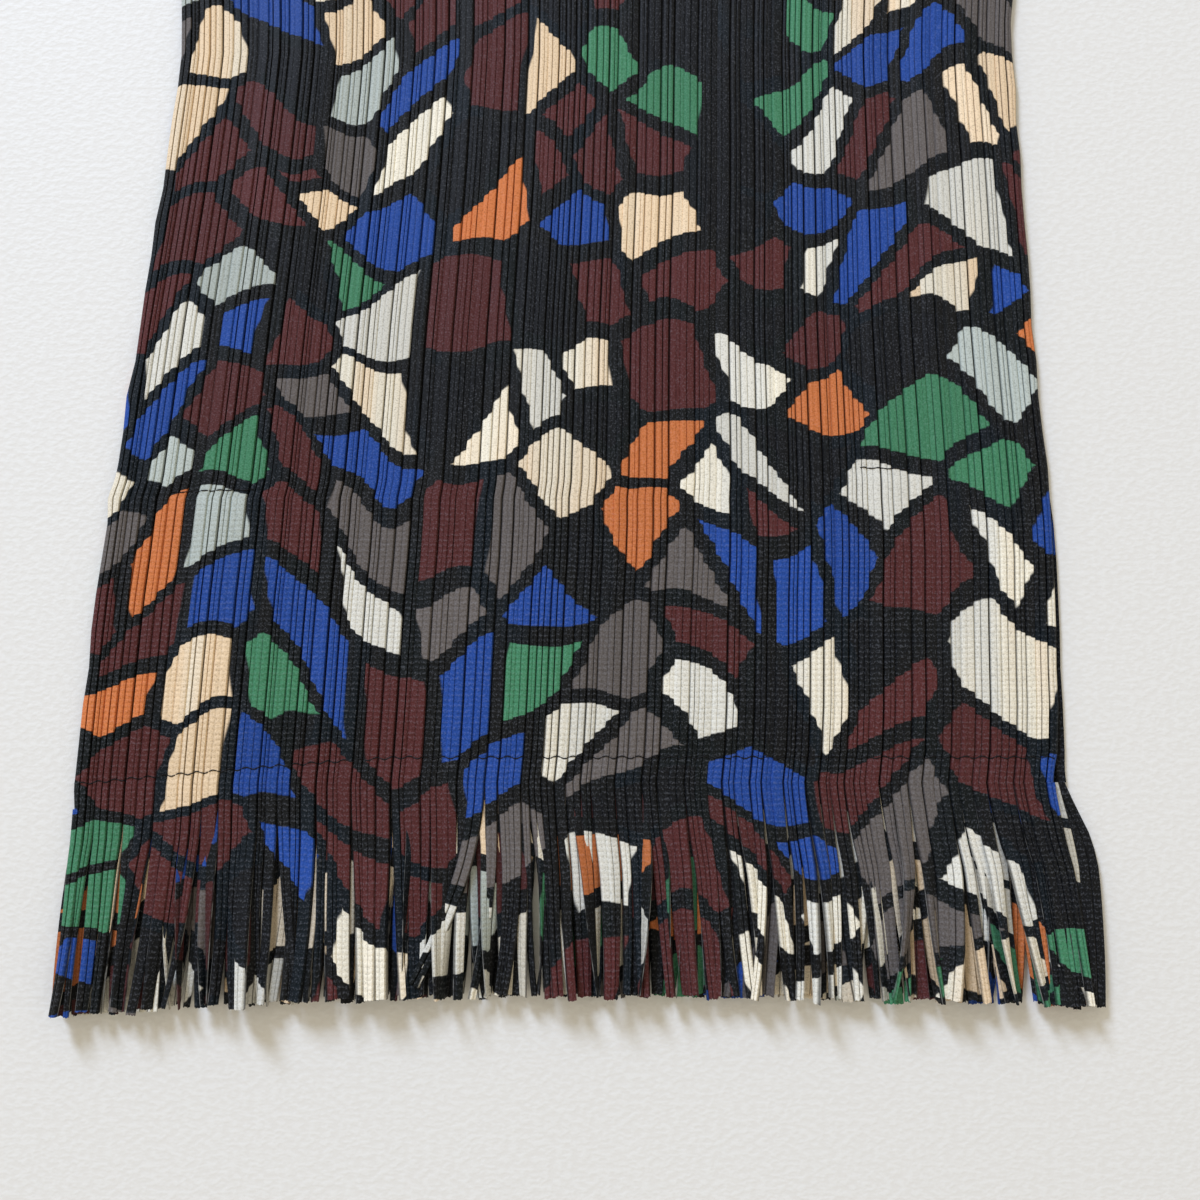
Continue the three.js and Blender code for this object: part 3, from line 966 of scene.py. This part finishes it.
def fringe_mesh(layer):
    """The flat strands of one layer, cut out of the cloth along its grooves."""
    name, seed, last_row = layer["name"], layer["seed"], layer["rows"]
    side = {"fringe_front": "front", "fringe_front_under": "between"}.get(name, "")
    per_pleat = (len(COLUMNS) - 1) // PLEATS
    cuts = strand_cuts(layer)
    roots = [across((COLUMNS[k * per_pleat]["u"] + COLUMNS[m * per_pleat]["u"]) / 2, STITCH_Y)
             for k, m in zip(cuts, cuts[1:])]
    crossing = {}
    for row in CROSSINGS if name == "fringe_front" else []:
        nearest = min(range(len(roots)), key=lambda i, row=row: abs(roots[i] - row["x"]))
        crossing[nearest] = row
    sheet = ClothMesh(name)
    for number, (first, last) in enumerate(zip(cuts, cuts[1:])):
        columns = COLUMNS[first * per_pleat : last * per_pleat + 1]
        middle_u = (columns[0]["u"] + columns[-1]["u"]) / 2
        root_y = cut_line(middle_u)
        tip_y = tip_line(middle_u) + TIP_JITTER * unevenness(number, seed + 6)
        half = (across(columns[-1]["u"], tip_y, side) - across(columns[0]["u"], tip_y, side)) / 2
        lean = lean_at(roots[number], number, layer)
        rise = 0.5 * (1 + unevenness(number, seed + 4))
        if number in crossing:
            lean, rise = crossing[number]["lean"], crossing[number]["rise"]
        grid = []
        for row in range(last_row + 1):
            share = row / last_row
            points = []
            for place, column in enumerate(columns):
                ragged = TIP_RAGGEDNESS * unevenness(place + 40 * number, seed)
                y = lerp(cut_line(column["u"]), tip_y + ragged, share)
                facts = {key: column[key] for key in COLUMN_FACTS}
                facts |= {
                    "side_gap": 1.0,
                    "sag": 0.0,
                    "strand": number,
                    "along": share,
                    "middle": across(middle_u, y, side) * MM,
                    "lean": lean * MM,
                    "reach": (root_y - tip_y) * MM,
                    "rise": rise * MM,
                    "half_width": half * MM,
                }
                points.append((across(column["u"], y, side), y, column["lane"], y, facts))
            grid.append(points)
        sheet.grid(grid[::-1])
    return sheet.mesh()


def take_up(folds):
    """How many times the width that shows goes into the folds, by the line across all the pleats."""
    length = 0
    for a, b in zip(COLUMNS, COLUMNS[1:]):
        rise = folds["Pleat Depth"] * (b["groove"] - a["groove"])
        dip = folds["Crease Depth"] * (b["crease"] - a["crease"])
        length += math.hypot((b["u"] - a["u"]) * HEM_WIDTH * MM, rise - dip)
    return length / (HEM_WIDTH * MM)


def make_panel(name, neck_depth, side, folds, material):
    """Makes the front or back, and hands out with it the size and area of its flat cut."""
    flat = panel_mesh(name, neck_depth, side)
    share = take_up(folds)
    size = (HEM_WIDTH * share * MM, CUT_LENGTH * MM)
    area = share * sum(face.area for face in flat.polygons)
    return shaped(name, flat, PANEL, folds | {"Material": material}), dict(flat=size, area=area)


def make_fringe(layer, material):
    folds = BACK_FOLDS if layer["name"] == "fringe_back" else FRONT_FOLDS
    settings = folds | {
        "Groove Height": layer["base"] * MM,
        "Pleat Depth": layer["depth"] * MM,
        "Seed": layer["seed"],
        "Lift": layer["lift"] * MM,
        "Lift Spread": 0.8,
        "Narrowing": 0.5,
        "Turn": 1.5,
        "Bow": 2.2 * MM,
        "Material": material,
    }
    if layer["name"].endswith("under"):
        settings |= {"Crease Depth": 0.2 * MM, "Tilt": 0.25 * MM, "Turn": 2.0}
    return shaped(layer["name"] + "_strands", fringe_mesh(layer), FRINGE, settings)


def make_thread(name, points, cloth, **sizes):
    """A line of stitches over a cloth along points in millimetres."""
    path = bpy.data.meshes.new(name)
    places = [(x * MM, y * MM, 0) for x, y in points]
    path.from_pydata(places, [(i, i + 1) for i in range(len(places) - 1)], [])
    settings = {
        "Cloth": cloth,
        "Thread Radius": 0.26 * MM,
        "Stitch Length": 3.3 * MM,
        "Wave": 0.5 * MM,
        "Step": 0.4 * MM,
        "Material": THREAD,
    }
    return shaped(name, path, STITCHES, settings | sizes)


def stop_points():
    """The line of stitches above the fringe, from side to side."""
    steps = 300
    shares = [i / steps for i in range(1, steps)]
    return [(across(u, stitch_line(u), "front"), stitch_line(u)) for u in shares]


def neck_points(neck_depth):
    """A line inside the neck's edge, from shoulder to shoulder."""
    wide, deep = NECK_HALF + EDGE_STITCH, neck_depth + EDGE_STITCH
    start, steps = 0.04, 120
    turns = [math.pi * (start + (1 - 2 * start) * i / steps) for i in range(steps + 1)]
    return [(CENTRE_X - wide * math.cos(t), SHOULDER_Y - deep * math.sin(t)) for t in turns]


def armhole_points(hand):
    """A line inside the armhole's edge, up from the underarm: hand is -1 on the left, 1 on the right."""
    points = []
    start, steps = 0.12, 40
    for i in range(steps + 1):
        inward = start + (1 - start) * i / steps
        out = CHEST_HALF - EDGE_STITCH - inward * (CHEST_HALF - SHOULDER_HALF)
        risen = ARMHOLE_BASE * (1 - math.sqrt(1 - inward**2))
        points.append((out, UNDERARM_Y - EDGE_STITCH * (1 - inward) + risen))
    points.append((SHOULDER_HALF - EDGE_STITCH, SHOULDER_Y - SHOULDER_DROP - 1))
    return [(CENTRE_X + hand * out, y) for out, y in points]


PANEL = panel_tree()
FRINGE = fringe_tree()
STITCHES = thread_tree()
STRAIGHT = {"Wave": 0.0}

front, front_cut = make_panel("pleated_front", FRONT_NECK_DEPTH, "front", FRONT_FOLDS, BODY_CLOTH)
back, back_cut = make_panel("pleated_back", BACK_NECK_DEPTH, "back", BACK_FOLDS, BACK_CLOTH)
STRAND_CLOTHS = [TOP_STRAND_CLOTH, UNDER_STRAND_CLOTH, BACK_STRAND_CLOTH, BACK_STRAND_CLOTH]
strands = [make_fringe(layer, cloth) for layer, cloth in zip(FRINGES, STRAND_CLOTHS)]
threads = [
    make_thread("stop_stitch", stop_points(), front),
    make_thread("neck_stitch_front", neck_points(FRONT_NECK_DEPTH), front, **STRAIGHT),
    make_thread("neck_stitch_back", neck_points(BACK_NECK_DEPTH), back, **STRAIGHT),
]
for number, tack in enumerate(TACKS):
    ends = [(tack["left"], tack["y"] - tack["rise"]), (tack["right"], tack["y"] + tack["rise"])]
    threads.append(make_thread(f"tack_stitch_{number + 1}", ends, front, **{"Wave": 0.2 * MM}))
for hand, word in ((-1, "left"), (1, "right")):
    threads.append(make_thread(f"armhole_stitch_{word}", armhole_points(hand), front, **STRAIGHT))


def make_camera():
    """Stands over the cloth, eight degrees off straight down, on the hem's side."""
    tilt = math.radians(8)
    half_view = math.radians(25)
    distance = 527.5 * MM
    target = (7.86 * MM, -183.28 * MM, 4.5 * MM)
    data = bpy.data.cameras.new("camera")
    data.sensor_width = 36
    data.lens = data.sensor_width / 2 / math.tan(half_view)
    data.clip_start = 0.01
    data.clip_end = 20
    camera = bpy.data.objects.new("camera", data)
    camera.location = (
        target[0],
        target[1] - distance * math.sin(tilt),
        target[2] + distance * math.cos(tilt),
    )
    camera.rotation_euler = (tilt, 0, 0)
    bpy.context.scene.collection.objects.link(camera)
    bpy.context.scene.camera = camera


def make_table():
    half = 2.5
    corners = [(-half, -half, 0), (half, -half, 0), (half, half, 0), (-half, half, 0)]
    mesh = bpy.data.meshes.new("table")
    mesh.from_pydata(corners, [], [(0, 1, 2, 3)])
    mesh.materials.append(table_material())
    table = bpy.data.objects.new("table", mesh)
    bpy.context.scene.collection.objects.link(table)


def make_light(name, place, aim, size, power, colour):
    data = bpy.data.lights.new(name, "AREA")
    data.shape = "RECTANGLE"
    data.size, data.size_y = size
    data.energy = power
    data.color = colour
    light = bpy.data.objects.new(name, data)
    light.location = place
    direction = [a - p for a, p in zip(aim, place)]
    light.rotation_euler = Vector(direction).to_track_quat("-Z", "Y").to_euler()
    bpy.context.scene.collection.objects.link(light)


def make_world():
    world = bpy.data.worlds.new("room")
    world.use_nodes = True
    background = world.node_tree.nodes["Background"]
    background.inputs["Color"].default_value = (1.0, 0.91, 0.75, 1)
    background.inputs["Strength"].default_value = 0.64
    bpy.context.scene.world = world


make_camera()
make_table()
make_light(
    name="window",
    place=(-2.5, 4.3, 3.4),
    aim=(0, -0.25, 0),
    size=(1.1, 2.0),
    power=277,
    colour=(0.82, 0.965, 1.27),
)
make_world()
bpy.context.scene.view_settings.view_transform = "Standard"

for piece in (front, back, *strands, *threads):
    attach(piece, "root")
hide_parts("front")
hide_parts("back")
for piece, layer in zip(strands, FRINGES):
    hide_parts(layer["name"])
